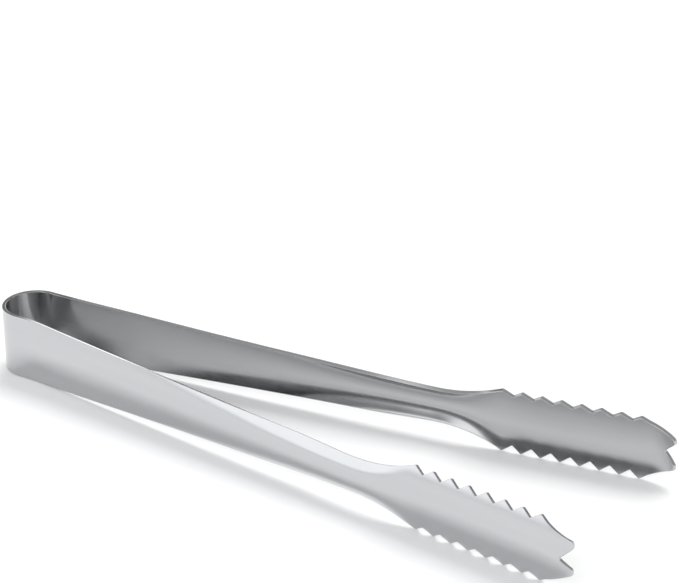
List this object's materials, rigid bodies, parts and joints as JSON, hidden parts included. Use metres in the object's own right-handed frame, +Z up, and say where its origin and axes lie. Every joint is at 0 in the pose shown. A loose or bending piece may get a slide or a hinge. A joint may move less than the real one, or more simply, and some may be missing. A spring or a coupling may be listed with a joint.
{
  "type": "ice tongs",
  "caption": "Spring ice tongs bent from one strip of satin stainless steel, with channelled arms and hollow toothed jaws that close when squeezed.",
  "frame": {"origin": "middle of the footprint, on the surface that the tongs lie on", "axes": "+X from the bow to the jaws, +Y the opening direction towards the left arm, +Z up along the bend axis"},
  "size_m": [0.178, 0.0566, 0.0174],
  "materials": {
    "steel": "satin to mirror polished stainless steel, with fine grain along the strip"
  },
  "bodies": {
    "bow": {"spring_bow": "steel"},
    "left_side": {"left_arm": "steel", "left_jaw": "steel"},
    "right_side": {"right_arm": "steel", "right_jaw": "steel"}
  },
  "joints": [
    {"name": "left_flex", "type": "hinge", "parent": "bow", "child": "left_side", "pos_m": [-0.08465, 0.00667, 0.0087], "axis": [0, 0, -1], "range_deg": [-2, 8.45], "stiffness_Nm_per_rad": 6},
    {"name": "right_flex", "type": "hinge", "parent": "bow", "child": "right_side", "pos_m": [-0.08465, -0.00667, 0.0087], "axis": [0, 0, 1], "range_deg": [-2, 8.45], "stiffness_Nm_per_rad": 6}
  ],
  "couplings": [
    {"joint": "right_flex", "follows": "left_flex", "ratio": 1}
  ]
}
